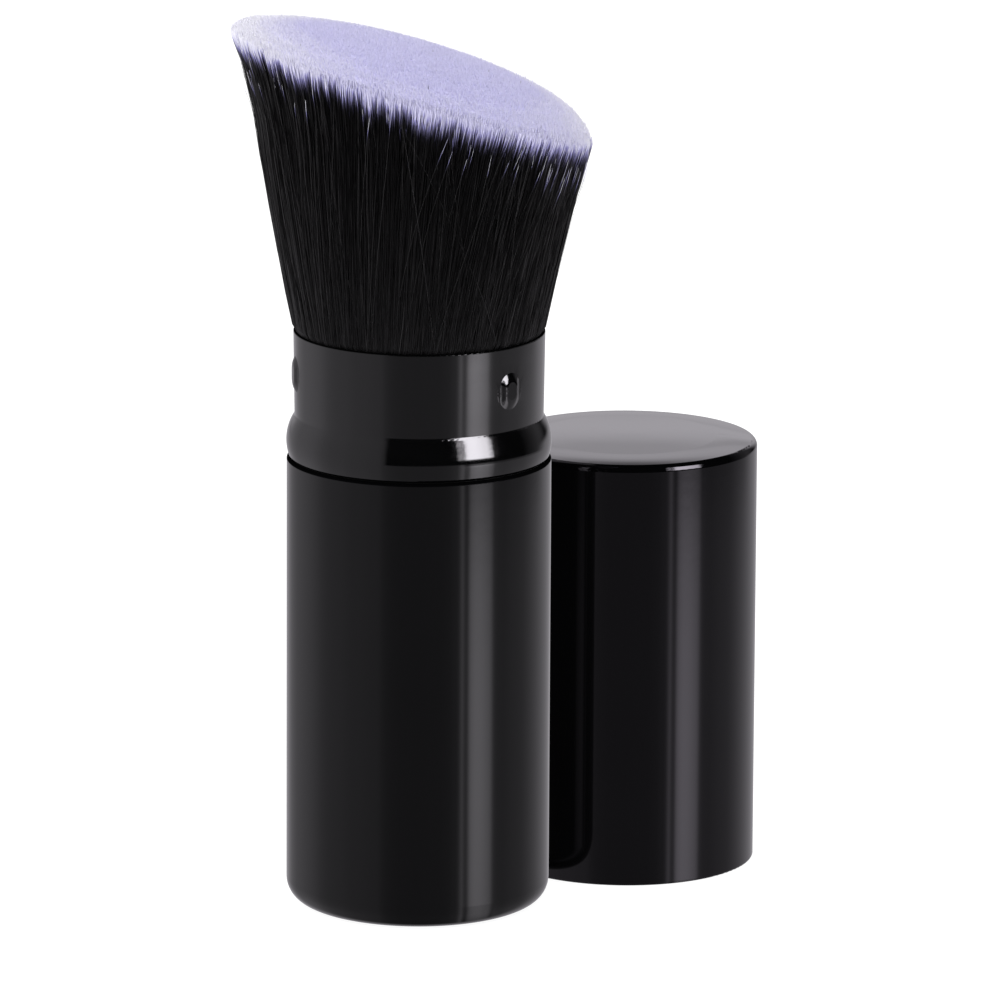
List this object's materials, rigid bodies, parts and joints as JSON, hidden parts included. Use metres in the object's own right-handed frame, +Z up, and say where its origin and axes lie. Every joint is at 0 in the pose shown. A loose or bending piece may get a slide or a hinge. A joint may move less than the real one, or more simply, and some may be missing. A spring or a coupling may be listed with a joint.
{
  "type": "retractable makeup brush",
  "caption": "Short flared makeup brush with a slanted top, a collar that slides up round its bristles, and a separate cylindrical cap standing beside it.",
  "frame": {"origin": "on the barrel's axis, in the plane the barrel stands on", "axes": "+Z up along the barrel's axis, the brush faces -Y, and the cap stands towards +X and +Y"},
  "size_m": [0.0638, 0.0591, 0.1087],
  "materials": {
    "barrel_lacquer": "gloss",
    "collar_lacquer": "gloss",
    "cap_lacquer": "gloss",
    "liner_plastic": "matte",
    "bushing_plastic": "satin",
    "tube_plastic": "satin",
    "post_plastic": "matte",
    "weight_steel": "satin",
    "screw_steel": "satin",
    "pad_paper": "matte",
    "ferrule_metal": "satin",
    "resin": "gloss",
    "binding_cord": "matte",
    "silicone": "satin",
    "bristles": "satin"
  },
  "bodies": {
    "handle": {"barrel_shell": "barrel_lacquer", "barrel_liner": "liner_plastic", "guide_bushing": "bushing_plastic", "base_weight": "weight_steel", "weight_pad": "pad_paper", "core_post": "post_plastic", "post_screw": "screw_steel", "screw_washer": "screw_steel", "ferrule": "ferrule_metal", "root_glue": "resin", "tuft_binding": "binding_cord", "bristle_core": "bristles", "bristle_flare": "bristles"},
    "sleeve": {"collar_shell": "collar_lacquer", "slide_tube": "tube_plastic", "friction_ring": "silicone"},
    "cap": {"cap_shell": "cap_lacquer", "cap_liner": "liner_plastic"}
  },
  "joints": [
    {"name": "sleeve_slide", "type": "slide", "parent": "handle", "child": "sleeve", "axis": [0, 0, 1], "range_m": [0, 0.04], "deforming": ["bristle_flare"]},
    {"name": "cap_lift", "type": "slide", "parent": "handle", "child": "cap", "axis": [0.1592, 0.1337, 0.9781], "range_m": [0, 0.13]}
  ]
}
